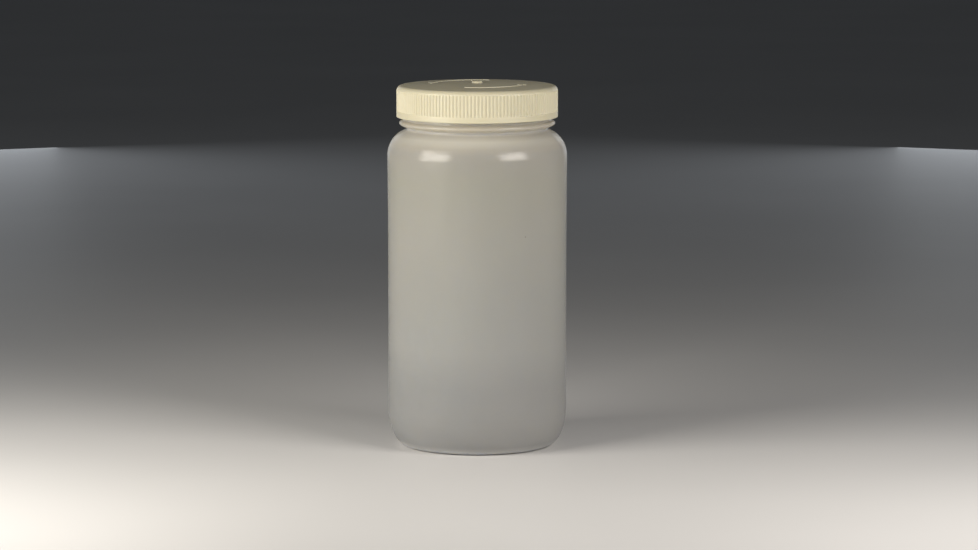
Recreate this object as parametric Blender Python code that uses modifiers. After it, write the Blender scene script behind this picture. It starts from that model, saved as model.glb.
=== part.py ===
"""A two-litre wide-mouth reagent bottle: the blow-moulded bottle, its ribbed screw cap and the foam liner
that seals the mouth. Metres, +Z up. The origin is on the bottle's axis, in the plane that it stands on."""

from math import acos, cos, degrees, pi, radians, sin

import bmesh
import bpy
from mathutils import Matrix

# Bottle body, from the base up. The wall is WALL thick all round.
BASE_RADIUS = 0.0466
BASE_RING_WIDTH = 0.0031
BASE_RISE = 0.0042
HEEL_HEIGHT = 0.0257
BODY_LOW_RADIUS = 0.05825
BODY_WAIST_RADIUS = 0.05795
BODY_TOP_RADIUS = 0.0583
WALL = 0.0018
SHOULDER_RADIUS = 0.0174
SHOULDER_LOW_Z = 0.1893

# Neck: a transfer bead over a narrow groove, and the threaded finish above it.
GROOVE_RADIUS = 0.0455
GROOVE_Z = 0.2067
BEAD_RADIUS = 0.0505
BEAD_Z = 0.2102
BEAD_HALF_HEIGHT = 0.0029
BEAD_DEPTH = 0.0086
NECK_RADIUS = 0.0482
MOUTH_RADIUS = 0.0452
LIP_Z = 0.2298
LIP_ROUND = 0.0008

# Cap, a 100 mm closure. Its panel rises from the rounded corner to a low dome with the gate's pip on it.
CAP_RADIUS = 0.05225
CAP_LOW_Z = 0.2142
CAP_TOP_Z = 0.2345
CAP_CORNER = 0.0035
CAP_EDGE = 0.0005
CAP_BORE_RADIUS = 0.0502
CAP_PANEL = 0.0022
DOME_RADIUS = CAP_RADIUS - CAP_CORNER
DOME_RISE = 0.0015
RIB_COUNT = 140
GROOVE_WIDTH = 0.00105
GROOVE_DEPTH = 0.0005
PLAIN_BAND = 0.004
GATE_RADIUS = 0.0036
GATE_HEIGHT = 0.0012
ARROW_RADIUS = 0.03
ARROW_WIDTH = 0.0022
ARROW_HEAD_WIDTH = 0.0062
ARROW_HEAD_SWEEP = 11
ARROW_HEIGHT = 0.0003
ARROW_STARTS = (-105, 75)
ARROW_SWEEP = 88

# Liner, loose in the cap between the panel and the lip
GAP = 0.0003
LINER_RADIUS = CAP_BORE_RADIUS - GAP

# Thread: five turns to the inch, right-handed, with the same section on the neck and in the cap
PITCH = 0.00508
THREAD_HEIGHT = 0.0015
THREAD_CREST_WIDTH = 0.001
THREAD_WALL_WIDTH = 0.0026
THREAD_ROOT_DEPTH = 0.0006
THREAD_FADE_TURNS = 0.12
NECK_THREAD_LOW_Z = 0.219
NECK_THREAD_TURNS = 1.5
CAP_THREAD_TURNS = 1.25
CAP_THREAD_START = 0.25
THREAD_STEPS_PER_TURN = 40
THREAD_FLANK = (THREAD_WALL_WIDTH - THREAD_CREST_WIDTH) / 2 / THREAD_HEIGHT

BOTTLE_STEPS = 56
CAP_STEPS = RIB_COUNT
BORE_STEPS = 56
SMOOTH_UNDER = 35


def spread(first, last, count):
    """Numbers from first to last, both included."""
    return [first + (last - first) * k / (count - 1) for k in range(count)]


def arc(centre_r, centre_z, reach_r, reach_z, first, last, count):
    """Points on an ellipse between two angles in degrees: 0 points outward, 90 up."""
    angles = [radians(a) for a in spread(first, last, count)]
    return [(centre_r + reach_r * cos(a), centre_z + reach_z * sin(a)) for a in angles]


def collection(name):
    made = bpy.data.collections.new(name)
    bpy.context.scene.collection.children.link(made)
    return made


def placed(name, mesh, home):
    made = bpy.data.objects.new(name, mesh)
    home.objects.link(made)
    return made


def as_cutter(made):
    made.hide_render = True
    made.display_type = "WIRE"
    return made


def turned(name, profile, steps, home):
    """Turns a profile of (radius, height) points about Z. It starts and ends on the axis, and runs down its
    outer side."""
    mesh = bpy.data.meshes.new(name)
    mesh.from_pydata([(r, 0, z) for r, z in profile], [(k, k + 1) for k in range(len(profile) - 1)], [])
    made = placed(name, mesh, home)
    screw = made.modifiers.new("Turn", "SCREW")
    screw.steps = steps
    screw.render_steps = steps
    screw.use_merge_vertices = True
    screw.merge_threshold = 0.00001
    return made


def boolean(made, other, operation):
    modifier = made.modifiers.new(f"{operation.title()} {other.name}", "BOOLEAN")
    modifier.operation = operation
    modifier.object = other


def thread(name, wall_radius, side, low_z, start, turns, home):
    """A thread on a right-hand helix, standing out from the wall on the given side, 1 outward or -1 inward.
    Its root is sunk in the wall, and so is its crest at both ends."""
    crest_sunk = wall_radius - side * THREAD_ROOT_DEPTH / 3
    crest_full = wall_radius + side * THREAD_HEIGHT
    root = wall_radius - side * THREAD_ROOT_DEPTH
    half_root = THREAD_WALL_WIDTH / 2 + THREAD_FLANK * THREAD_ROOT_DEPTH
    half_crest = THREAD_CREST_WIDTH / 2
    steps = round(turns * THREAD_STEPS_PER_TURN)
    bm = bmesh.new()
    sections = []
    for turn in spread(0, turns, steps + 1):
        full = min(1, turn / THREAD_FADE_TURNS, (turns - turn) / THREAD_FADE_TURNS)
        crest = crest_sunk + (crest_full - crest_sunk) * full
        z = low_z + PITCH * (start + turn)
        angle = 2 * pi * (start + turn)
        lower = [(root, z - half_root), (crest, z - half_crest)]
        upper = [(crest, z + half_crest), (root, z + half_root)]
        sections.append([bm.verts.new((r * cos(angle), r * sin(angle), h)) for r, h in lower + upper])
    for low, high in zip(sections, sections[1:]):
        for k in range(4):
            bm.faces.new((low[k], low[k - 1], high[k - 1], high[k]))
    bm.faces.new(sections[0])
    bm.faces.new(sections[-1])
    bmesh.ops.recalc_face_normals(bm, faces=bm.faces)
    mesh = bpy.data.meshes.new(name)
    bm.to_mesh(mesh)
    bm.free()
    return as_cutter(placed(name, mesh, home))


def plastic(name, colour, roughness):
    made = bpy.data.materials.new(name)
    made.use_nodes = True
    shader = made.node_tree.nodes["Principled BSDF"]
    shader.inputs["Base Color"].default_value = (*colour, 1)
    shader.inputs["Roughness"].default_value = roughness
    return made


def finish(made, material):
    """Gives a node its material, and shades it smooth over its gentle edges."""
    made.data.materials.append(material)
    graph = bpy.context.evaluated_depsgraph_get()
    mesh = bpy.data.meshes.new_from_object(made.evaluated_get(graph), depsgraph=graph)
    mesh.name = made.name
    mesh.shade_smooth()
    mesh.set_sharp_from_angle(angle=radians(SMOOTH_UNDER))
    made.modifiers.clear()
    made.data = mesh


def body_side(thickness):
    """The body's side from the shoulder down to the heel: a barrel with a slight waist."""
    middle_z = (SHOULDER_LOW_Z + HEEL_HEIGHT) / 2
    quarter = (SHOULDER_LOW_Z - HEEL_HEIGHT) / 4
    near_waist = BODY_WAIST_RADIUS + (BODY_TOP_RADIUS - BODY_WAIST_RADIUS) / 4
    return [
        (near_waist - thickness, middle_z + quarter),
        (BODY_WAIST_RADIUS - thickness, middle_z),
        (near_waist - thickness, middle_z - quarter),
    ]


def outside():
    """The bottle's outer profile, from the lip down to the middle of the base."""
    bead_centre = BEAD_RADIUS - BEAD_DEPTH
    bead_top = degrees(acos((NECK_RADIUS - bead_centre) / BEAD_DEPTH))
    bead_end = -degrees(acos((GROOVE_RADIUS + 0.0006 - bead_centre) / BEAD_DEPTH))
    shoulder_centre = BODY_TOP_RADIUS - SHOULDER_RADIUS
    shoulder_start = degrees(acos((GROOVE_RADIUS + 0.0007 - shoulder_centre) / SHOULDER_RADIUS))
    ring_inside = BASE_RADIUS - BASE_RING_WIDTH
    dome_edge = ring_inside - 0.0035
    return [
        *arc(NECK_RADIUS - LIP_ROUND, LIP_Z - LIP_ROUND, LIP_ROUND, LIP_ROUND, 90, 0, 3),
        *arc(bead_centre, BEAD_Z, BEAD_DEPTH, BEAD_HALF_HEIGHT, bead_top, bead_end, 8),
        (GROOVE_RADIUS, GROOVE_Z),
        *arc(shoulder_centre, SHOULDER_LOW_Z, SHOULDER_RADIUS, SHOULDER_RADIUS, shoulder_start, 0, 8),
        *body_side(0),
        *arc(BASE_RADIUS, HEEL_HEIGHT, BODY_LOW_RADIUS - BASE_RADIUS, HEEL_HEIGHT, 0, -90, 8),
        (ring_inside, 0),
        (ring_inside - 0.0012, 0.0007),
        (dome_edge, 0.0026),
        (dome_edge / 2, BASE_RISE - 0.0004),
        (0, BASE_RISE),
    ]


def inside():
    """The bottle's inner profile, from the middle of the floor up to the lip."""
    shoulder_centre = BODY_TOP_RADIUS - SHOULDER_RADIUS
    inner_shoulder = SHOULDER_RADIUS - WALL
    throat_radius = GROOVE_RADIUS - WALL - GAP
    shoulder_end = degrees(acos((throat_radius - shoulder_centre) / inner_shoulder))
    floor_edge = BASE_RADIUS - BASE_RING_WIDTH - 0.0040
    return [
        (0, BASE_RISE + WALL),
        (floor_edge / 2, BASE_RISE + WALL - 0.0004),
        (floor_edge, 0.0026 + WALL),
        (floor_edge + 0.0022, WALL + 0.0007),
        *arc(BASE_RADIUS, HEEL_HEIGHT, BODY_LOW_RADIUS - WALL - BASE_RADIUS, HEEL_HEIGHT - WALL, -90, 0, 7),
        *reversed(body_side(WALL)),
        *arc(shoulder_centre, SHOULDER_LOW_Z, inner_shoulder, inner_shoulder, 0, shoulder_end, 7),
        (throat_radius, GROOVE_Z + 0.0006),
        (MOUTH_RADIUS, BEAD_Z + 0.0006),
        (MOUTH_RADIUS, LIP_Z - LIP_ROUND / 2),
        (MOUTH_RADIUS + LIP_ROUND / 2, LIP_Z),
    ]


def make_bottle(parts, cutters):
    bottle = turned("bottle", inside() + outside(), BOTTLE_STEPS, parts)
    neck_thread = thread("neck_thread", NECK_RADIUS, 1, NECK_THREAD_LOW_Z, 0, NECK_THREAD_TURNS, cutters)
    boolean(bottle, neck_thread, "UNION")
    finish(bottle, plastic("translucent polyethylene", (0.56, 0.53, 0.47), 0.32))
    return bottle


def rib_grooves(cutters):
    """One box for each groove between two ribs. They run out through the cap's rounded top corner."""
    low = CAP_LOW_Z + PLAIN_BAND
    high = CAP_TOP_Z + GROOVE_DEPTH
    size = Matrix.Diagonal((2 * GROOVE_DEPTH, GROOVE_WIDTH, high - low, 1))
    middle = Matrix.Translation((CAP_RADIUS, 0, (low + high) / 2))
    bm = bmesh.new()
    for k in range(RIB_COUNT):
        turn = Matrix.Rotation(2 * pi * (k + 0.5) / RIB_COUNT, 4, "Z")
        bmesh.ops.create_cube(bm, size=1, matrix=turn @ middle @ size)
    mesh = bpy.data.meshes.new("rib_grooves")
    bm.to_mesh(mesh)
    bm.free()
    return as_cutter(placed("rib_grooves", mesh, cutters))


def dome(top_z, radius):
    """The height of the cap's domed panel, which is level with top_z at its edge."""
    return top_z + DOME_RISE * (1 - (radius / DOME_RADIUS) ** 2)


def arrow_outline(start):
    """A plain arc with an arrow head on its counter-clockwise end, as (radius, angle in degrees) points."""
    end = start + ARROW_SWEEP
    inner = [(ARROW_RADIUS - ARROW_WIDTH / 2, a) for a in spread(start, end, 12)]
    outer = [(ARROW_RADIUS + ARROW_WIDTH / 2, a) for a in spread(end, start, 12)]
    head = [
        (ARROW_RADIUS - ARROW_HEAD_WIDTH / 2, end),
        (ARROW_RADIUS, end + ARROW_HEAD_SWEEP),
        (ARROW_RADIUS + ARROW_HEAD_WIDTH / 2, end),
    ]
    return inner + head + outer


def turn_arrows(cutters):
    """Two raised arrows round the gate, which point the way that the cap unscrews."""
    bm = bmesh.new()
    for start in ARROW_STARTS:
        rim = [(r * cos(radians(a)), r * sin(radians(a))) for r, a in arrow_outline(start)]
        face = bm.faces.new([bm.verts.new((x, y, CAP_TOP_Z - CAP_PANEL / 2)) for x, y in rim])
        raised = bmesh.ops.extrude_face_region(bm, geom=[face])
        corners = [v for v in raised["geom"] if isinstance(v, bmesh.types.BMVert)]
        height = dome(CAP_TOP_Z, ARROW_RADIUS) + ARROW_HEIGHT
        for corner in corners:
            corner.co.z = height
    bmesh.ops.recalc_face_normals(bm, faces=bm.faces)
    mesh = bpy.data.meshes.new("turn_arrows")
    bm.to_mesh(mesh)
    bm.free()
    return as_cutter(placed("turn_arrows", mesh, cutters))


def cap_thread(cutters):
    """The thread in the cap. It lies under the neck's, and their facing flanks keep GAP between them."""
    crest_gap = CAP_BORE_RADIUS - THREAD_HEIGHT - NECK_RADIUS
    neck_half_width = THREAD_WALL_WIDTH / 2 - THREAD_FLANK * crest_gap
    low_z = NECK_THREAD_LOW_Z - neck_half_width - THREAD_CREST_WIDTH / 2 - GAP
    return thread("cap_thread", CAP_BORE_RADIUS, -1, low_z, CAP_THREAD_START, CAP_THREAD_TURNS, cutters)


def make_cap(parts, cutters):
    panel_low = CAP_TOP_Z - CAP_PANEL
    panel_radii = [DOME_RADIUS * share for share in (0, 0.35, 0.7)]
    cap_profile = [
        *[(r, dome(CAP_TOP_Z, r)) for r in panel_radii],
        *arc(DOME_RADIUS, CAP_TOP_Z - CAP_CORNER, CAP_CORNER, CAP_CORNER, 90, 0, 5),
        (CAP_RADIUS, CAP_LOW_Z + CAP_EDGE),
        (CAP_RADIUS - CAP_EDGE, CAP_LOW_Z),
        (0, CAP_LOW_Z),
    ]
    bore_profile = [
        *[(r, dome(panel_low, r)) for r in panel_radii],
        (DOME_RADIUS, panel_low),
        (CAP_BORE_RADIUS, panel_low),
        (CAP_BORE_RADIUS, CAP_LOW_Z - 0.001),
        (0, CAP_LOW_Z - 0.001),
    ]
    crown = dome(CAP_TOP_Z, 0)
    gate_profile = [
        (0, crown + GATE_HEIGHT),
        (GATE_RADIUS - GATE_HEIGHT / 2, crown + GATE_HEIGHT),
        (GATE_RADIUS, crown),
        (GATE_RADIUS, crown - CAP_PANEL / 2),
        (0, crown - CAP_PANEL / 2),
    ]
    cap = turned("screw_cap", cap_profile, CAP_STEPS, parts)
    boolean(cap, as_cutter(turned("cap_bore", bore_profile, BORE_STEPS, cutters)), "DIFFERENCE")
    boolean(cap, rib_grooves(cutters), "DIFFERENCE")
    boolean(cap, as_cutter(turned("gate_pip", gate_profile, 24, cutters)), "UNION")
    boolean(cap, turn_arrows(cutters), "UNION")
    boolean(cap, cap_thread(cutters), "UNION")
    finish(cap, plastic("ivory polypropylene", (0.76, 0.69, 0.49), 0.38))
    return cap


def make_liner(parts):
    top = CAP_TOP_Z - CAP_PANEL - GAP
    low = LIP_Z + GAP
    profile = [(0, top), (LINER_RADIUS, top), (LINER_RADIUS, low), (0, low)]
    liner = turned("cap_liner", profile, BORE_STEPS, parts)
    finish(liner, plastic("white foamed polyethylene", (0.84, 0.84, 0.82), 0.6))
    return liner


def main():
    for old in list(bpy.data.objects):
        bpy.data.objects.remove(old)
    parts = collection("reagent bottle")
    cutters = collection("cutters")
    make_bottle(parts, cutters)
    make_cap(parts, cutters)
    make_liner(parts)


main()
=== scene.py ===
from math import acos, ceil, cos, degrees, exp, pi, radians, sin, sqrt

import bmesh
import bpy
from mathutils import Euler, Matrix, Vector


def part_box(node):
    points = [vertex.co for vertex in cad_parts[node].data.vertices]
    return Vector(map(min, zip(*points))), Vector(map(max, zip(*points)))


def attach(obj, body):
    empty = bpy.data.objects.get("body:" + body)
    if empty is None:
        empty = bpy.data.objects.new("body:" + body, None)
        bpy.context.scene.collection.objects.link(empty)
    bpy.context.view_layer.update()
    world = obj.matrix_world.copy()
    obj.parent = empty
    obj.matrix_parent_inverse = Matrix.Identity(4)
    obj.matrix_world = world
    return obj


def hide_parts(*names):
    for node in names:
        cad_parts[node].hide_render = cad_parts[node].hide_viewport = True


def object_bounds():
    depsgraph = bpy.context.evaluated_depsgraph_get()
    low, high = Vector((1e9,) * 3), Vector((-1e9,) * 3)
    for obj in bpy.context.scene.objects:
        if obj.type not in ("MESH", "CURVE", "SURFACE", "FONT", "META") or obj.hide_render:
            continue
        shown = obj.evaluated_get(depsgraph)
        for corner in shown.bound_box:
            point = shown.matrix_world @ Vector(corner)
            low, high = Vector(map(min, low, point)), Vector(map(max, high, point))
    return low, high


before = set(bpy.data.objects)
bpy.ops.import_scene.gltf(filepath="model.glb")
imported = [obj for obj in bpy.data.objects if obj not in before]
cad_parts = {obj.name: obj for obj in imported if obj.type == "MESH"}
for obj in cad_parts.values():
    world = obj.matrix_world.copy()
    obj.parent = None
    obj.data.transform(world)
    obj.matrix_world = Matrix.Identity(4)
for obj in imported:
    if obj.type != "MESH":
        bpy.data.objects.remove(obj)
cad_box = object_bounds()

# ---------------------------------------------------------------- sizes, in metres
# What model.glb gives: the heights and radii that the visual pieces are built on.
bottle_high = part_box("bottle")[1]
cap_low, cap_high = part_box("screw_cap")
liner_low, liner_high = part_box("cap_liner")
LIP_Z = bottle_high.z
BODY_RADIUS = bottle_high.x
CAP_LOW_Z = cap_low.z
CAP_RADIUS = cap_high.x
LINER_LOW_Z = liner_low.z
LINER_TOP_Z = liner_high.z
LINER_RADIUS = liner_high.x

# Bottle, from the base up. Steps are pairs of radius and height, counted from the place they are named for.
# A foot is where a curve or a straight side ends, counted from the part that it runs into.
BASE_RADIUS = 0.0466
BASE_RING_WIDTH = 0.0031
BASE_RISE = 0.0042
BASE_SAG = 0.0004
BASE_EDGE_WIDTH = 0.0035
BASE_EDGE_HEIGHT = 0.0026
BASE_EDGE_STEPS = ((0, 0), (-0.0006, 0.0002), (-0.0012, 0.0007), (-0.0022, 0.0017))
BASE_DOME_STEP = 0.002
BASE_DOME_HEIGHT = 0.00295
FLOOR_EDGE_WIDTH = 0.0040
FLOOR_EDGE_STEPS = ((0, 0.0026), (0.0012, 0.0015), (0.0024, 0.0007), (0.0040, 0.0001))
HEEL_HEIGHT = 0.0257
BODY_LOW_RADIUS = 0.05825
BODY_WAIST_RADIUS = 0.05795
SHOULDER_RADIUS = 0.0174
SHOULDER_LOW_Z = 0.1893
SHOULDER_FOOT = 0.0007
WALL = 0.0018
GROOVE_RADIUS = 0.0455
GROOVE_Z = 0.2067
GROOVE_STEPS = ((0.0002, 0.0005), (0, 0), (0.0001, -0.0004))
THROAT_INSET = 0.0003
THROAT_STEPS = ((-0.0001, 0), (0.0003, 0.0010))
BEAD_RADIUS = 0.0505
BEAD_Z = 0.2102
BEAD_HALF_HEIGHT = 0.0029
BEAD_DEPTH = 0.0086
BEAD_FOOT = 0.0006
NECK_RADIUS = 0.0482
NECK_FOOT = 0.0026
MOUTH_RADIUS = 0.0452
MOUTH_STEPS = ((-0.0003, 0), (0, 0.0010))
LIP_ROUND = 0.0008

# Marks of the mould on the bottle: the pinch-off line under the base, the parting lines, and a wavy wall.
# A wave is its number of turns round the bottle, its radians per metre of height, and its shift in radians.
PINCH_LENGTH = 0.031
PINCH_FADE = 0.027
PINCH_HEIGHT = 0.0007
PINCH_HALF_WIDTH = 0.0009
SEAM_HEIGHT = 0.00006
SEAM_HALF_WIDTH = 0.0005
SEAM_FLAT_SHARE = 0.3
WAVE_HEIGHT = 0.00003
WAVES = ((3, 40, 0), (5, -63, 1.7), (2, 95, 0.6))
WAVES_LOW_Z = 0.02
WAVES_LOW_RADIUS = BODY_WAIST_RADIUS - 0.001

# Cap. The crest and foot of a rib are shares of its pitch, and the arrows' starts and sweeps are in degrees.
DOME_RISE = 0.0015
GATE_RADIUS = 0.0036
GATE_HEIGHT = 0.0012
GATE_SLOPE = 0.0009
GATE_ROUND = 0.0004
GATE_FOOT_STEPS = ((-0.0002, 0.0003), (0.0001, 0))
GATE_CENTRE_ROW = 0.0006
CAP_TOP_Z = cap_high.z - DOME_RISE - GATE_HEIGHT
CAP_CORNER = 0.0035
CAP_EDGE = 0.0003
CAP_BORE_RADIUS = 0.0502
CAP_BORE_EDGE = 0.0005
CAP_BORE_TOP_GAP = 0.0005
CAP_PANEL = 0.0022
PANEL_LOW_Z = CAP_TOP_Z - CAP_PANEL
PANEL_CORNER_STEPS = ((-0.0002, -0.0002), (-0.0006, 0))
PANEL_GATE_GAP = 0.0008
CEILING_CENTRE_ROW = 0.002
DOME_RADIUS = CAP_RADIUS - CAP_CORNER
RIB_COUNT = 140
RIB_GROOVE_DEPTH = 0.0005
RIB_CREST = 0.15
RIB_FOOT = 0.36
PLAIN_BAND = 0.004
RIB_END_SLOPE = (-0.0006, 0.0004)
RIB_TOP_SLOPE = (-0.0004, 0.0018)
ARROW_RADIUS = 0.03
ARROW_WIDTH = 0.0022
ARROW_HEAD_WIDTH = 0.0062
ARROW_HEAD_SWEEP = 11
ARROW_HEIGHT = 0.0003
ARROW_BEVEL = 0.00018
ARROW_STARTS = (-105, 75)
ARROW_SWEEP = 88

# Liner, with the dent that the bottle's lip has left in it
LINER_EDGE = 0.0004
LINER_FLAT_INSET = 0.0005
DENT_DEPTH = 0.0002
DENT_HALF_WIDTH = 0.0013

# Thread
PITCH = 0.00508
THREAD_HEIGHT = 0.0015
THREAD_CREST_WIDTH = 0.001
THREAD_WALL_WIDTH = 0.0026
THREAD_CREST_ROUND = 0.0001
THREAD_FOOT_ROUND = 0.0002
THREAD_FADE_TURNS = 0.12
NECK_THREAD_LOW_Z = 0.219
NECK_THREAD_TURNS = 1.5
CAP_THREAD_DROP = 0.00183
CAP_THREAD_START = 0.25
CAP_THREAD_TURNS = 1.25
CAP_THREAD_LOW_GAP = 0.0012
CAP_THREAD_TOP_GAP = 0.001

# Mesh fineness. Sizes that are NEAR count as the same, and CENTRE_ROW is the radius of the row by the axis.
NEAR = 0.0001
CENTRE_ROW = 0.001
BODY_COLUMNS = 256
LINER_COLUMNS = 180
BODY_ROWS = 34
NECK_ROWS = 58
CURVE_ROWS = 24
BEAD_ROWS = 22
INNER_ROWS = 14
BORE_ROWS = 56
PANEL_ROWS = 22
CEILING_ROWS = 12
SKIRT_STEP = 0.0008
SKIRT_TOP_GAP = 0.002
BASE_STEP = 0.0016
FLOOR_STEP = 0.006
ARROW_POINTS = 40
COARSE_EVERY = 5
SHARP_ANGLE = 50
RIB_POINTS = (-0.5, -0.4, -0.31, -0.22, -0.12, 0.0, 0.12, 0.22, 0.31, 0.4)
SEAM_OFFSETS = (-0.9, -0.6, -0.45, -0.3, -0.15, 0.15, 0.3, 0.45, 0.6, 0.9)

# ---------------------------------------------------------------- looks
# The bottle's base colour at some heights, mostly painted light and shade. It stands in for the light that
# its thicker parts pass, and its bright bands are painted light: a painted glow along the base ring against
# its contact shadow, a painted highlight ring at the shoulder's top, and painted light in the groove and
# under the cap against their shade. The bead is painted darker to soften its highlight, and the heel and
# lower body are darker.
TONE_SPAN = 0.25
BOTTLE_TONES_AND_PAINTED_LIGHT = {
    "base ring's painted glow": (0.001, (0.95, 0.94, 0.92)),
    "base edge": (0.003, (0.58, 0.58, 0.56)),
    "heel": (0.005, (0.39, 0.395, 0.40)),
    "low body": (0.0425, (0.40, 0.408, 0.41)),
    "body": (0.0675, (0.47, 0.476, 0.462)),
    "high body": (0.1375, (0.478, 0.476, 0.438)),
    "shoulder's start": (0.175, (0.462, 0.457, 0.402)),
    "shoulder": (0.19375, (0.455, 0.44, 0.405)),
    "shoulder's top": (0.1975, (0.54, 0.51, 0.45)),
    "shoulder's painted highlight ring": (0.202, (0.79, 0.74, 0.63)),
    "under the groove": (0.205, (0.61, 0.57, 0.49)),
    "groove": (0.20725, (0.95, 0.91, 0.82)),
    "bead's lower side": (0.209, (0.56, 0.53, 0.46)),
    "bead": (0.210375, (0.49, 0.46, 0.40)),
    "bead's upper side": (0.21175, (0.50, 0.47, 0.41)),
    "painted light under the cap": (0.21325, (0.83, 0.79, 0.69)),
    "neck": (0.2145, (0.57, 0.54, 0.47)),
}
CLOUD_TONE = (0.51, 0.49, 0.46)
STREAK_TONE = (0.40, 0.40, 0.38)
SPECK_TONE = (0.16, 0.13, 0.10)
IVORY_DEEP = (0.585, 0.55, 0.41)
IVORY_LIGHT = (0.62, 0.585, 0.44)
IVORY_RUBBED = (0.72, 0.69, 0.56)
FOAM_DARK = (0.80, 0.80, 0.78)
FOAM_LIGHT = (0.87, 0.87, 0.85)
FOAM_CELL = (0.62, 0.62, 0.60)
FLOOR_DARK = (0.66, 0.66, 0.67)
FLOOR_LIGHT = (0.70, 0.70, 0.71)
SHEEN_TINT = (0.9, 0.95, 1.0, 1)
GLOW_SHARE = 0.2
SPECK_SCALE = 97
FOAM_CELL_SCALE = 1400

# Studio
FLOOR_HALF_SIZE = 12
FLOOR_Z = -0.0002
WARM_KEY = (1.0, 0.94, 0.84)
WARM_FILL = (1.0, 0.94, 0.86)
WARM_BACK = (1.0, 0.95, 0.88)
COOL_RIM = (0.90, 0.95, 1.0)
WORLD_COLOUR = (0.9, 0.95, 1.0, 1)
WORLD_STRENGTH = 0.04

# Camera, with angles in degrees and the lens and sensor in millimetres
CAMERA_PLACE = (0, -2.608, 0.449)
CAMERA_DIP = 7.393
CAMERA_PAN = -0.168
CAMERA_LENS = 148.7
CAMERA_SENSOR = 36
CAMERA_REACH = 50


# ---------------------------------------------------------------- small helpers
def spread(first, last, count):
    """Numbers from first to last, both included."""
    return [first + (last - first) * k / (count - 1) for k in range(count)]


def arc(centre_r, centre_z, reach_r, reach_z, first, last, count):
    """Points on an ellipse between two angles in degrees: 0 points outward, 90 up."""
    angles = [radians(a) for a in spread(first, last, count)]
    return [(centre_r + reach_r * cos(a), centre_z + reach_z * sin(a)) for a in angles]


def stepped(radius, z, steps):
    """Points at small steps of radius and height from one place."""
    return [(radius + out, z + up) for out, up in steps]


def smooth(low, high, value):
    """0 below low, 1 above high, and an S curve between."""
    share = min(1, max(0, (value - low) / (high - low)))
    return share * share * (3 - 2 * share)


def refined(profile, step):
    """The same outline with a point at least every step along it."""
    points = [profile[0]]
    for (r0, z0), (r1, z1) in zip(profile, profile[1:]):
        length = sqrt((r1 - r0) ** 2 + (z1 - z0) ** 2)
        parts = max(1, ceil(length / step))
        points += [(r0 + (r1 - r0) * k / parts, z0 + (z1 - z0) * k / parts) for k in range(1, parts + 1)]
    return points


def turned(radius, z, angle):
    """The shape of a plain turned row: nothing moves."""
    return radius, z


def ring(bm, radius, z, angles, shape):
    """One row of corners round Z. shape moves a point's radius and height."""
    corners = []
    for angle in angles:
        r, h = shape(radius, z, angle)
        corners.append(bm.verts.new((r * cos(angle), r * sin(angle), h)))
    return corners


def zip_rings(bm, upper, lower):
    """Faces between two rows, facing outward when the outline runs down its outer side. One row may have
    a whole multiple of the other's corners."""
    many, few = max(len(upper), len(lower)), min(len(upper), len(lower))
    each = many // few
    for k in range(few):
        after = (k + 1) % few
        if each == 1:
            bm.faces.new((upper[k], lower[k], lower[after], upper[after]))
            continue
        dense, sparse = (upper, lower) if len(upper) == many else (lower, upper)
        fan = [dense[(k * each + j) % many] for j in range(each + 1)]
        middle = each // 2
        for j in range(each):
            corner = sparse[k] if j < middle else sparse[after]
            face = (fan[j], corner, fan[j + 1]) if dense is upper else (fan[j + 1], corner, fan[j])
            bm.faces.new(face)
        bridge = (sparse[k], sparse[after], fan[middle])
        bm.faces.new(bridge if dense is upper else bridge[::-1])


def zip_all(bm, rows):
    """Faces between every two neighbouring rows."""
    for upper, lower in zip(rows, rows[1:]):
        zip_rings(bm, upper, lower)


def close_row(bm, row, z, upward):
    """A fan of faces from a row to a point on the axis."""
    middle = bm.verts.new((0, 0, z))
    for k, corner in enumerate(row):
        after = row[(k + 1) % len(row)]
        bm.faces.new((middle, corner, after) if upward else (middle, after, corner))


def as_piece(bm, name, material, body, slot, *nodes):
    """Turns a bmesh into a shown piece that rides on a body and stands for CAD nodes."""
    mesh = bpy.data.meshes.new(name)
    bm.to_mesh(mesh)
    bm.free()
    mesh.shade_smooth()
    mesh.set_sharp_from_angle(angle=radians(SHARP_ANGLE))
    mesh.materials.append(material)
    piece = bpy.data.objects.new(name, mesh)
    bpy.context.scene.collection.objects.link(piece)
    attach(piece, body)
    if nodes:
        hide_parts(*nodes)
    return piece


# ---------------------------------------------------------------- thread
def thread_rise(angle, z, low_z, start, turns):
    """How far a moulded thread stands out of its wall at one place on the wall."""
    here = (angle / (2 * pi)) % 1
    crest = THREAD_CREST_WIDTH / 2 - THREAD_CREST_ROUND
    foot = THREAD_WALL_WIDTH / 2 + THREAD_FOOT_ROUND
    rise = 0
    for lap in range(-1, ceil(start + turns) + 1):
        turn = here + lap - start
        if turn < 0 or turn > turns:
            continue
        fade = smooth(0, THREAD_FADE_TURNS, turn) * smooth(0, THREAD_FADE_TURNS, turns - turn)
        away = abs(z - (low_z + PITCH * (turn + start)))
        rise = max(rise, THREAD_HEIGHT * fade * (1 - smooth(crest, foot, away)))
    return rise


# ---------------------------------------------------------------- bottle
def body_side(thickness):
    """The barrel from the shoulder down to the heel, with its slight waist."""
    points = []
    for z in spread(SHOULDER_LOW_Z, HEEL_HEIGHT, BODY_ROWS)[1:-1]:
        share = (z - HEEL_HEIGHT) / (SHOULDER_LOW_Z - HEEL_HEIGHT)
        low = BODY_LOW_RADIUS * (1 - share) * (1 - 2 * share)
        waist = BODY_WAIST_RADIUS * 4 * share * (1 - share)
        high = BODY_RADIUS * share * (2 * share - 1)
        points.append((low + waist + high - thickness, z))
    return points


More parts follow.
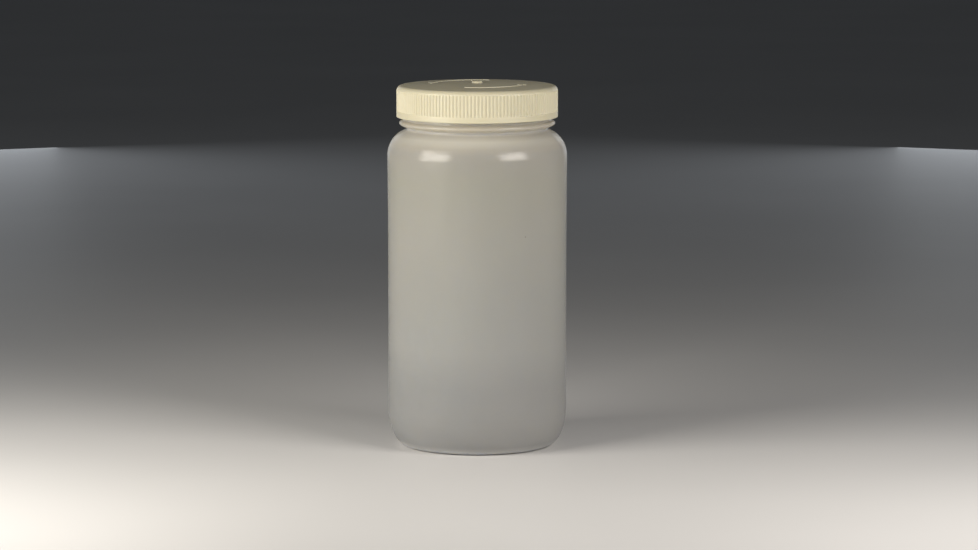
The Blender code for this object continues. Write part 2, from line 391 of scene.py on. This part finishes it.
def bottle_outside():
    """Outer outline, from the lip down to the middle of the base."""
    lip_low = LIP_Z - LIP_ROUND
    bead_centre = BEAD_RADIUS - BEAD_DEPTH
    bead_top = degrees(acos((NECK_RADIUS - bead_centre) / BEAD_DEPTH))
    bead_end = -degrees(acos((GROOVE_RADIUS + BEAD_FOOT - bead_centre) / BEAD_DEPTH))
    shoulder = BODY_RADIUS - SHOULDER_RADIUS
    shoulder_start = degrees(acos((GROOVE_RADIUS + SHOULDER_FOOT - shoulder) / SHOULDER_RADIUS))
    heel_reach = BODY_LOW_RADIUS - BASE_RADIUS
    ring_inside = BASE_RADIUS - BASE_RING_WIDTH
    dome_edge = ring_inside - BASE_EDGE_WIDTH
    base_dome = [
        (dome_edge - BASE_DOME_STEP, BASE_DOME_HEIGHT),
        (dome_edge / 2, BASE_RISE - BASE_SAG),
        (CENTRE_ROW, BASE_RISE),
    ]
    return [
        *arc(NECK_RADIUS - LIP_ROUND, lip_low, LIP_ROUND, LIP_ROUND, 90, 0, 6),
        *[(NECK_RADIUS, z) for z in spread(lip_low, BEAD_Z + NECK_FOOT, NECK_ROWS)[1:]],
        *arc(bead_centre, BEAD_Z, BEAD_DEPTH, BEAD_HALF_HEIGHT, bead_top, bead_end, BEAD_ROWS),
        *stepped(GROOVE_RADIUS, GROOVE_Z, GROOVE_STEPS),
        *arc(shoulder, SHOULDER_LOW_Z, SHOULDER_RADIUS, SHOULDER_RADIUS, shoulder_start, 0, CURVE_ROWS),
        *body_side(0),
        *arc(BASE_RADIUS, HEEL_HEIGHT, heel_reach, HEEL_HEIGHT, 0, -90, CURVE_ROWS),
        *stepped(ring_inside, 0, BASE_EDGE_STEPS),
        (dome_edge, BASE_EDGE_HEIGHT),
        *refined(base_dome, BASE_STEP),
    ]


def bottle_inside():
    """Inner outline, from the middle of the floor up to the lip."""
    shoulder = BODY_RADIUS - SHOULDER_RADIUS
    reach = SHOULDER_RADIUS - WALL
    throat = GROOVE_RADIUS - WALL - THROAT_INSET
    shoulder_end = degrees(acos((throat - shoulder) / reach))
    heel_reach = BODY_LOW_RADIUS - WALL - BASE_RADIUS
    floor_edge = BASE_RADIUS - BASE_RING_WIDTH - FLOOR_EDGE_WIDTH
    floor_z = BASE_RISE + WALL
    half_round = LIP_ROUND / 2
    return [
        *refined([(CENTRE_ROW, floor_z), (floor_edge / 2, floor_z - BASE_SAG)], FLOOR_STEP),
        *stepped(floor_edge, WALL, FLOOR_EDGE_STEPS),
        *arc(BASE_RADIUS, HEEL_HEIGHT, heel_reach, HEEL_HEIGHT - WALL, -88, 0, INNER_ROWS),
        *body_side(WALL)[::-3],
        *arc(shoulder, SHOULDER_LOW_Z, reach, reach, 0, shoulder_end, INNER_ROWS),
        *stepped(throat, GROOVE_Z, THROAT_STEPS),
        *stepped(MOUTH_RADIUS, BEAD_Z, MOUTH_STEPS),
        (MOUTH_RADIUS, LIP_Z - LIP_ROUND),
        *arc(MOUTH_RADIUS + half_round, LIP_Z - half_round, half_round, half_round, 180, 90, 4),
    ]


def seam_ridge(radius, angle, half_width):
    """1 on the mould's parting plane, which holds the X axis, and 0 past half_width to either side."""
    away = abs(radius * sin(angle))
    return 1 - smooth(half_width * SEAM_FLAT_SHARE, half_width, away)


def bottle_shape(radius, z, angle):
    """The moulded surface: the thread, the pinch-off line under the base and the lines on the sides."""
    if abs(radius - NECK_RADIUS) < NEAR and z > BEAD_Z:
        radius += thread_rise(angle, z, NECK_THREAD_LOW_Z, 0, NECK_THREAD_TURNS)
    if radius < PINCH_LENGTH and z < BASE_RISE + NEAR:
        fade = 1 - smooth(PINCH_FADE, PINCH_LENGTH, radius)
        z -= PINCH_HEIGHT * seam_ridge(radius, angle, PINCH_HALF_WIDTH) * fade
    # Blow moulding leaves the wall very slightly uneven. Both marks stay inside the true outline.
    if radius > WAVES_LOW_RADIUS and z > WAVES_LOW_Z:
        uneven = sum(sin(around * angle + along * z + shift) for around, along, shift in WAVES)
        beside_seam = 1 - seam_ridge(radius, angle, SEAM_HALF_WIDTH)
        radius -= WAVE_HEIGHT * (uneven + len(WAVES)) / 2 + SEAM_HEIGHT * beside_seam
    return radius, z


def make_bottle(material):
    """The whole bottle in one shell, from the middle of its floor over the lip to the middle of its base."""
    angles = [2 * pi * k / BODY_COLUMNS for k in range(BODY_COLUMNS)]
    for side in (0, 180):
        angles += [radians(side + offset) % (2 * pi) for offset in SEAM_OFFSETS]
    angles.sort()
    bm = bmesh.new()
    rows = [ring(bm, r, z, angles, turned) for r, z in bottle_inside()]
    rows += [ring(bm, r, z, angles, bottle_shape) for r, z in bottle_outside()]
    zip_all(bm, rows)
    close_row(bm, rows[0], BASE_RISE + WALL, True)
    close_row(bm, rows[-1], BASE_RISE - PINCH_HEIGHT, False)
    return as_piece(bm, "bottle_shell", material, "bottle", "bottle_plastic", "bottle")


# ---------------------------------------------------------------- cap
def dome(top_z, radius):
    """The height of the cap's domed panel, which is level with top_z at its edge."""
    return top_z + DOME_RISE * (1 - min(1, radius / DOME_RADIUS) ** 2)


def rib_cut(angle):
    """How deep the groove between two ribs is at an angle, as a share of its full depth."""
    across = (angle * RIB_COUNT / (2 * pi) + 0.5) % 1 - 0.5
    return smooth(RIB_CREST, RIB_FOOT, abs(across))


def ribbed(radius, z, angle):
    """Cuts the skirt's grooves. They end in a slope over the plain band, and run out in the top corner."""
    end_low, end_high = [CAP_LOW_Z + PLAIN_BAND + up for up in RIB_END_SLOPE]
    top_low, top_high = [CAP_TOP_Z - CAP_CORNER + up for up in RIB_TOP_SLOPE]
    depth = RIB_GROOVE_DEPTH * rib_cut(angle) * smooth(end_low, end_high, z)
    depth *= 1 - smooth(top_low, top_high, z)
    return min(radius, CAP_RADIUS - depth), z


def cap_thread_shape(radius, z, angle):
    """The inner thread, which stands out of the bore towards the axis."""
    low_z = NECK_THREAD_LOW_Z - CAP_THREAD_DROP
    if CAP_LOW_Z + CAP_THREAD_LOW_GAP < z < PANEL_LOW_Z - CAP_THREAD_TOP_GAP:
        radius -= thread_rise(angle, z, low_z, CAP_THREAD_START, CAP_THREAD_TURNS)
    return radius, z


def rib_angles():
    """The corners round the skirt: the same few across every rib."""
    pitch = 2 * pi / RIB_COUNT
    return [pitch * (k + point + 0.5) for k in range(RIB_COUNT) for point in RIB_POINTS]


def panel_outline():
    """The cap's top, from the middle of the gate pip out to the corner."""
    crown = dome(CAP_TOP_Z, 0)
    gate_top = crown + GATE_HEIGHT
    gate_edge = GATE_RADIUS - GATE_SLOPE
    return [
        *[(r, gate_top) for r in (GATE_CENTRE_ROW, gate_edge * 0.5, gate_edge)],
        *arc(gate_edge, gate_top - GATE_ROUND, GATE_ROUND, GATE_ROUND, 70, 25, 3),
        *stepped(GATE_RADIUS, crown, GATE_FOOT_STEPS),
        *[(r, dome(CAP_TOP_Z, r)) for r in spread(GATE_RADIUS + PANEL_GATE_GAP, DOME_RADIUS, PANEL_ROWS)],
    ]


def skirt_outline():
    """The cap's outer side, from its top corner down and round on to the rim's lower face."""
    groove_end = CAP_LOW_Z + PLAIN_BAND
    heights = [
        *spread(CAP_TOP_Z - CAP_CORNER - SKIRT_TOP_GAP, groove_end + 1.5 * SKIRT_STEP, 4),
        *spread(groove_end + SKIRT_STEP, groove_end - SKIRT_STEP, 7),
        groove_end - 2 * SKIRT_STEP,
        CAP_LOW_Z + CAP_EDGE + SKIRT_STEP,
    ]
    return [
        *arc(DOME_RADIUS, CAP_TOP_Z - CAP_CORNER, CAP_CORNER, CAP_CORNER, 84, 0, INNER_ROWS),
        *[(CAP_RADIUS, z) for z in heights],
        *arc(CAP_RADIUS - CAP_EDGE, CAP_LOW_Z + CAP_EDGE, CAP_EDGE, CAP_EDGE, 0, -90, 5),
    ]


def make_cap(material):
    """The cap in one shell: the panel with its gate pip, the ribbed skirt, the bore and the ceiling."""
    fine = rib_angles()
    coarse = fine[::COARSE_EVERY]
    bore_edge = [(CAP_BORE_RADIUS + CAP_BORE_EDGE, CAP_LOW_Z), (CAP_BORE_RADIUS, CAP_LOW_Z + CAP_BORE_EDGE)]
    bore_heights = spread(CAP_LOW_Z + CAP_THREAD_LOW_GAP, PANEL_LOW_Z - CAP_BORE_TOP_GAP, BORE_ROWS)
    ceiling = [
        *stepped(CAP_BORE_RADIUS, PANEL_LOW_Z, PANEL_CORNER_STEPS),
        *[(r, dome(PANEL_LOW_Z, r)) for r in spread(DOME_RADIUS, CEILING_CENTRE_ROW, CEILING_ROWS)],
    ]
    bm = bmesh.new()
    rows = [ring(bm, r, z, coarse, turned) for r, z in panel_outline()]
    rows += [ring(bm, r, z, fine, ribbed) for r, z in skirt_outline()]
    rows += [ring(bm, r, z, coarse, turned) for r, z in bore_edge]
    rows += [ring(bm, CAP_BORE_RADIUS, z, coarse, cap_thread_shape) for z in bore_heights]
    rows += [ring(bm, r, z, coarse, turned) for r, z in ceiling]
    zip_all(bm, rows)
    close_row(bm, rows[0], dome(CAP_TOP_Z, 0) + GATE_HEIGHT, True)
    close_row(bm, rows[-1], dome(PANEL_LOW_Z, 0), False)
    return as_piece(bm, "cap_shell", material, "cap", "cap_plastic", "screw_cap")


def arrow_outline(start):
    """An arc with an arrow head, as pairs of radius and angle in degrees."""
    end = start + ARROW_SWEEP
    half, half_head = ARROW_WIDTH / 2, ARROW_HEAD_WIDTH / 2
    return [
        *[(ARROW_RADIUS - half, a) for a in spread(start, end, ARROW_POINTS)],
        (ARROW_RADIUS - half_head, end),
        (ARROW_RADIUS, end + ARROW_HEAD_SWEEP),
        (ARROW_RADIUS + half_head, end),
        *[(ARROW_RADIUS + half, a) for a in spread(end, start, ARROW_POINTS)],
    ]


def make_arrow(number, start, material):
    """A raised arrow, moulded on the panel. It shows the way that the cap unscrews."""
    bm = bmesh.new()
    top = []
    for radius, degree in arrow_outline(start):
        a = radians(degree)
        top.append(bm.verts.new((radius * cos(a), radius * sin(a), dome(CAP_TOP_Z, radius) + ARROW_HEIGHT)))
    face = bm.faces.new(top)
    sunk = bmesh.ops.extrude_face_region(bm, geom=[face])
    for v in sunk["geom"]:
        if isinstance(v, bmesh.types.BMVert):
            v.co.z -= 2 * ARROW_HEIGHT
    bmesh.ops.recalc_face_normals(bm, faces=bm.faces)
    upper = [e for e in bm.edges if all(v.co.z > dome(CAP_TOP_Z, v.co.xy.length) for v in e.verts)]
    bmesh.ops.bevel(
        bm, geom=upper, offset=ARROW_BEVEL, segments=2, profile=0.6, affect="EDGES", clamp_overlap=True
    )
    return as_piece(bm, f"cap_arrow_{number}", material, "cap", "cap_plastic")


# ---------------------------------------------------------------- liner
def pressed(radius, z, angle):
    """The liner's lower face, with the shallow ring that the bottle's lip has pressed in it."""
    dent = exp(-((radius - (NECK_RADIUS + MOUTH_RADIUS) / 2) / DENT_HALF_WIDTH) ** 2)
    return radius, z + (DENT_DEPTH * dent if z < LINER_LOW_Z + NEAR else 0)


def make_liner(material):
    """A foamed disc with soft edges."""
    flat = LINER_RADIUS - LINER_FLAT_INSET
    edge = LINER_RADIUS - LINER_EDGE
    angles = [2 * pi * k / LINER_COLUMNS for k in range(LINER_COLUMNS)]
    outline = [
        *[(r, LINER_TOP_Z) for r in spread(CENTRE_ROW, flat, 8)],
        *arc(edge, LINER_TOP_Z - LINER_EDGE, LINER_EDGE, LINER_EDGE, 80, 0, 4),
        *arc(edge, LINER_LOW_Z + LINER_EDGE, LINER_EDGE, LINER_EDGE, 0, -80, 4),
        *[(r, LINER_LOW_Z) for r in spread(flat, CENTRE_ROW, 60)],
    ]
    bm = bmesh.new()
    rows = [ring(bm, r, z, angles, pressed) for r, z in outline]
    zip_all(bm, rows)
    close_row(bm, rows[0], LINER_TOP_Z, True)
    close_row(bm, rows[-1], LINER_LOW_Z, False)
    return as_piece(bm, "foam_liner", material, "liner", "liner_foam", "cap_liner")


# ---------------------------------------------------------------- materials
class Nodes:
    """A short way to add and link shader nodes."""

    def __init__(self, name):
        self.material = bpy.data.materials.new(name)
        self.material.use_nodes = True
        self.tree = self.material.node_tree
        self.shader = self.tree.nodes["Principled BSDF"]
        self.output = self.tree.nodes["Material Output"]
        self.place = self.add("ShaderNodeTexCoord").outputs["Object"]

    def put(self, socket, value):
        """Links an output to the socket, or sets the socket. A colour of three parts becomes opaque."""
        if isinstance(value, bpy.types.NodeSocket):
            self.tree.links.new(value, socket)
        elif socket.type == "RGBA" and len(value) == 3:
            socket.default_value = (*value, 1)
        else:
            socket.default_value = value

    def fill(self, node, inputs):
        for name, value in inputs.items():
            self.put(node.inputs[name.replace("_", " ")], value)

    def add(self, kind, **inputs):
        node = self.tree.nodes.new(kind)
        self.fill(node, inputs)
        return node

    def noise(self, scale, detail=2.0, roughness=0.5, stretch=(1, 1, 1)):
        place = self.add("ShaderNodeMapping", Vector=self.place, Scale=stretch).outputs[0]
        texture = self.add(
            "ShaderNodeTexNoise", Vector=place, Scale=scale, Detail=detail, Roughness=roughness
        )
        return texture.outputs[0]

    def ramp(self, value, *stops):
        """A colour ramp. A stop is a position and a colour, or a position and a grey."""
        node = self.tree.nodes.new("ShaderNodeValToRGB")
        self.tree.links.new(value, node.inputs[0])
        marks = node.color_ramp.elements
        while len(marks) < len(stops):
            marks.new(0.5)
        for mark, (position, colour) in zip(marks, stops):
            mark.position = position
            mark.color = (*colour, 1) if isinstance(colour, tuple) else (colour, colour, colour, 1)
        return node.outputs[0]

    def mix(self, share, first, second):
        node = self.tree.nodes.new("ShaderNodeMix")
        node.data_type = "RGBA"
        for number, value in ((0, share), (6, first), (7, second)):
            self.put(node.inputs[number], value)
        return node.outputs[2]

    def product(self, first, second):
        node = self.tree.nodes.new("ShaderNodeMath")
        node.operation = "MULTIPLY"
        for number, value in enumerate((first, second)):
            self.put(node.inputs[number], value)
        return node.outputs[0]

    def bump(self, height, distance, **under):
        return self.add("ShaderNodeBump", Height=height, Distance=distance, Strength=1.0, **under).outputs[0]


def bottle_tone_and_painted_light(n):
    """The bottle's colour: its tone by height, which paints light and shade in bands, with faint clouds,
    drawn-down streaks and a few specks.
    """
    height = n.add("ShaderNodeSeparateXYZ", Vector=n.place).outputs["Z"]
    # The tone by height paints light and shade: bright bands in the groove, under the cap, at the shoulder's
    # top and along the base ring, a darkened bead, and a darker heel and lower body.
    stops = [(z / TONE_SPAN, colour) for z, colour in BOTTLE_TONES_AND_PAINTED_LIGHT.values()]
    tone = n.ramp(n.product(height, 1 / TONE_SPAN), *stops)
    clouds = n.ramp(n.noise(scale=14, detail=3), (0.35, 0.0), (0.65, 0.35))
    tone = n.mix(clouds, tone, n.mix(0.9, tone, CLOUD_TONE))
    streaks = n.ramp(n.noise(scale=30, detail=1, stretch=(1, 1, 0.03)), (0.3, 0.0), (0.7, 0.4))
    tone = n.mix(streaks, tone, n.mix(0.2, tone, STREAK_TONE))
    cells = n.add("ShaderNodeTexVoronoi", Vector=n.place, Scale=SPECK_SCALE)
    lot = n.add("ShaderNodeSeparateColor", Color=cells.outputs["Color"]).outputs[0]
    chosen = n.ramp(lot, (0.97, 0.0), (0.975, 1.0))
    dots = n.ramp(cells.outputs["Distance"], (0.02, 1.0), (0.06, 0.0))
    return n.mix(n.product(n.product(chosen, dots), 0.5), tone, SPECK_TONE)


def milky_plastic():
    """Natural polyethylene: milky, light-passing and satin, with faint scuffs."""
    n = Nodes("milky_polyethylene")
    tone = bottle_tone_and_painted_light(n)
    rough = n.ramp(n.noise(scale=90, stretch=(1, 1, 0.3)), (0.3, 0.195), (0.75, 0.225))
    uneven = n.bump(n.noise(scale=60), distance=0.00025)
    grain = n.bump(n.noise(scale=900), distance=0.00002, Normal=uneven)
    n.fill(n.shader, {
        "Base Color": tone, "Roughness": rough, "Normal": grain, "IOR": 1.5,
        "Subsurface Weight": 1.0, "Subsurface Scale": 0.008, "Subsurface Radius": (1.0, 0.92, 0.75),
        "Sheen Weight": 0.15, "Sheen Roughness": 0.3, "Sheen Tint": SHEEN_TINT,
    })
    glow = n.add("ShaderNodeBsdfTranslucent", Color=tone, Normal=grain)
    both = n.add("ShaderNodeMixShader", Fac=GLOW_SHARE)
    n.put(both.inputs[1], n.shader.outputs[0])
    n.put(both.inputs[2], glow.outputs[0])
    n.put(n.output.inputs["Surface"], both.outputs[0])
    return n.material


def ivory_plastic():
    """Ivory polypropylene: a satin moulding with a faint flow pattern, rubbed lighter on its crests."""
    n = Nodes("ivory_polypropylene")
    flow = n.ramp(n.noise(scale=35, detail=3, roughness=0.55), (0.3, 0.0), (0.7, 1.0))
    crests = n.ramp(n.add("ShaderNodeNewGeometry").outputs["Pointiness"], (0.5, 0.0), (0.56, 0.5))
    tone = n.mix(crests, n.mix(flow, IVORY_DEEP, IVORY_LIGHT), IVORY_RUBBED)
    n.fill(n.shader, {
        "Base Color": tone, "Roughness": n.ramp(n.noise(scale=240), (0.3, 0.34), (0.7, 0.44)),
        "Normal": n.bump(n.noise(scale=420, detail=3), distance=0.00003), "IOR": 1.49,
        "Subsurface Weight": 0.35, "Subsurface Scale": 0.0015, "Subsurface Radius": (1.0, 0.85, 0.55),
    })
    return n.material


def foam_plastic():
    """White foamed polyethylene: fine closed cells under a smooth skin."""
    n = Nodes("foamed_polyethylene")
    cells = n.add("ShaderNodeTexVoronoi", Vector=n.place, Scale=FOAM_CELL_SCALE).outputs["Distance"]
    tone = n.mix(n.ramp(n.noise(scale=60, detail=3), (0.3, 0.0), (0.7, 1.0)), FOAM_DARK, FOAM_LIGHT)
    tone = n.mix(n.ramp(cells, (0.0, 0.25), (0.5, 0.0)), tone, FOAM_CELL)
    n.fill(n.shader, {
        "Base Color": tone, "Roughness": 0.65, "Normal": n.bump(cells, distance=0.0001),
        "Subsurface Weight": 0.3, "Subsurface Scale": 0.002,
    })
    return n.material


def floor_material():
    """A plain pale floor with very faint, wide clouds."""
    n = Nodes("pale_floor")
    tone = n.ramp(n.noise(scale=3), (0.3, FLOOR_DARK), (0.7, FLOOR_LIGHT))
    n.fill(n.shader, {"Base Color": tone, "Roughness": 0.55, "Specular IOR Level": 0.25})
    return n.material


# ---------------------------------------------------------------- studio
def make_floor():
    """A large flat floor, a hair below the base so that the two faces don't fight."""
    bm = bmesh.new()
    bmesh.ops.create_grid(bm, x_segments=1, y_segments=1, size=FLOOR_HALF_SIZE)
    mesh = bpy.data.meshes.new("floor")
    bm.to_mesh(mesh)
    bm.free()
    mesh.materials.append(floor_material())
    floor = bpy.data.objects.new("floor", mesh)
    floor.location.z = FLOOR_Z
    bpy.context.scene.collection.objects.link(floor)


def softbox(name, colour, watts, azimuth, elevation, distance, width, height):
    """A rectangular light that faces the bottle's middle. Azimuth 0 is in front, and above 0 to the right."""
    middle = Vector((0, 0, (cad_box[0].z + cad_box[1].z) / 2))
    a, e = radians(azimuth), radians(elevation)
    away = Vector((sin(a) * cos(e), -cos(a) * cos(e), sin(e)))
    data = bpy.data.lights.new(name, "AREA")
    data.shape = "RECTANGLE"
    data.size = width
    data.size_y = height
    data.energy = watts
    data.color = colour
    lamp = bpy.data.objects.new(name, data)
    lamp.location = middle + away * distance
    lamp.rotation_euler = (-away).to_track_quat("-Z", "Y").to_euler()
    lamp.visible_camera = False
    bpy.context.scene.collection.objects.link(lamp)
    return lamp


def make_lights(lit_from_behind):
    """Two soft lamps in front, two weak ones for the edges, and a low one behind that skips the floor."""
    softbox(
        "key_left", WARM_KEY, watts=3.75,
        azimuth=-54.9, elevation=18.7, distance=0.61, width=0.4, height=0.3,
    )
    softbox(
        "fill_right", WARM_FILL, watts=2.75,
        azimuth=46.2, elevation=22, distance=0.63, width=0.36, height=0.25,
    )
    for name, azimuth in (("rim_left", -158), ("rim_right", 158)):
        softbox(
            name, COOL_RIM, watts=1.3,
            azimuth=azimuth, elevation=6, distance=2, width=0.6, height=0.9,
        )
    back = softbox(
        "back", WARM_BACK, watts=4.5,
        azimuth=180, elevation=0, distance=0.9, width=0.6, height=0.2,
    )
    back.visible_glossy = False
    back.light_linking.receiver_collection = lit_from_behind
    world = bpy.data.worlds.new("studio")
    bpy.context.scene.world = world
    world.use_nodes = True
    background = world.node_tree.nodes["Background"].inputs
    background["Color"].default_value = WORLD_COLOUR
    background["Strength"].default_value = WORLD_STRENGTH


def make_camera():
    """A long lens, a little above the cap."""
    data = bpy.data.cameras.new("camera")
    data.sensor_width = CAMERA_SENSOR
    data.lens = CAMERA_LENS
    data.clip_end = CAMERA_REACH
    camera = bpy.data.objects.new("camera", data)
    camera.location = CAMERA_PLACE
    camera.rotation_euler = Euler((radians(90 - CAMERA_DIP), 0, radians(CAMERA_PAN)), "XYZ")
    bpy.context.scene.collection.objects.link(camera)
    bpy.context.scene.camera = camera


make_camera()
make_floor()
ivory = ivory_plastic()
pieces = [make_bottle(milky_plastic()), make_cap(ivory), make_liner(foam_plastic())]
pieces += [make_arrow(number, start, ivory) for number, start in enumerate(ARROW_STARTS, 1)]
bottle_pieces = bpy.data.collections.new("bottle_pieces")
for piece in pieces:
    bottle_pieces.objects.link(piece)
make_lights(bottle_pieces)
bpy.context.scene.view_settings.view_transform = "Standard"
